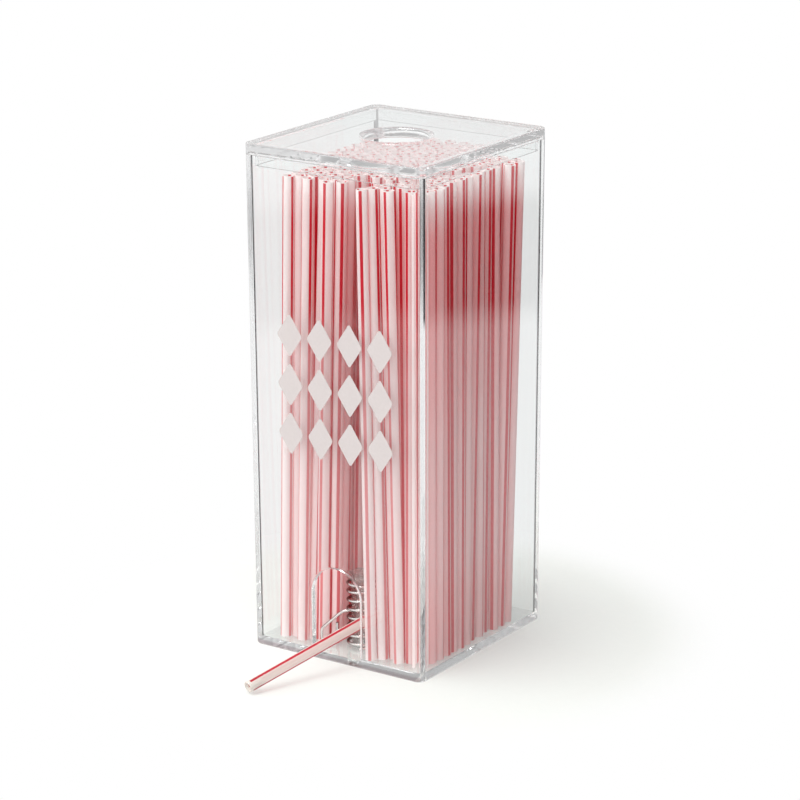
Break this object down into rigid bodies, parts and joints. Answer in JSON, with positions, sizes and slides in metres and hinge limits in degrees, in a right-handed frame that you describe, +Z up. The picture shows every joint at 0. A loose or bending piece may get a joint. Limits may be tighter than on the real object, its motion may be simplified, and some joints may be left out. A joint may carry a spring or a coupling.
{
  "type": "straw dispenser",
  "caption": "Clear countertop straw dispenser: tall drafted case, lift-off lid with finger hole, arched outlet, sprung wire lever on a post, and a bundle of standing straws.",
  "frame": {"origin": "middle of the case's flat underside, on the surface it stands on", "axes": "+Z up, -Y towards the front face with the arch, +X to the right seen from the front"},
  "size_m": [0.087, 0.1413, 0.215],
  "materials": {
    "clear_acrylic": "clear, polished",
    "clear_fittings": "clear, polished",
    "steel_wire": "bright drawn wire",
    "striped_straw": "thin translucent white with red stripes"
  },
  "bodies": {
    "case": {"case_body": "clear_acrylic", "pivot_post": "clear_fittings", "thrust_washer": "clear_fittings", "retaining_clip": "clear_fittings", "return_spring": "steel_wire", "straw_column_01": "striped_straw", "straw_column_02": "striped_straw", "straw_column_03": "striped_straw", "straw_column_04": "striped_straw", "straw_column_05": "striped_straw", "straw_column_06": "striped_straw", "straw_column_07": "striped_straw", "straw_column_08": "striped_straw", "straw_column_09": "striped_straw", "straw_column_10": "striped_straw", "straw_column_11": "striped_straw", "straw_column_12": "striped_straw", "straw_column_13": "striped_straw", "straw_column_14": "striped_straw", "straw_column_15": "striped_straw", "straw_column_16": "striped_straw", "straw_column_17": "striped_straw"},
    "lid": {"lid": "clear_acrylic"},
    "lever": {"lever_hub": "clear_fittings", "lever_arm": "steel_wire"},
    "drawn_straw": {"dispensed_straw": "striped_straw"}
  },
  "joints": [
    {"name": "lid_lift", "type": "slide", "parent": "case", "child": "lid", "axis": [0, 0, 1], "range_m": [0, 0.012]},
    {"name": "lever_swing", "type": "hinge", "parent": "case", "child": "lever", "pos_m": [0.002, -0.03, 0.0185], "axis": [0, 0, 1], "range_deg": [0, 35], "stiffness_Nm_per_rad": 0.01, "deforming": ["return_spring"]},
    {"name": "straw_pull", "type": "slide", "parent": "case", "child": "drawn_straw", "axis": [-0.3387, -0.9409, 0], "range_m": [0, 0.012]}
  ]
}
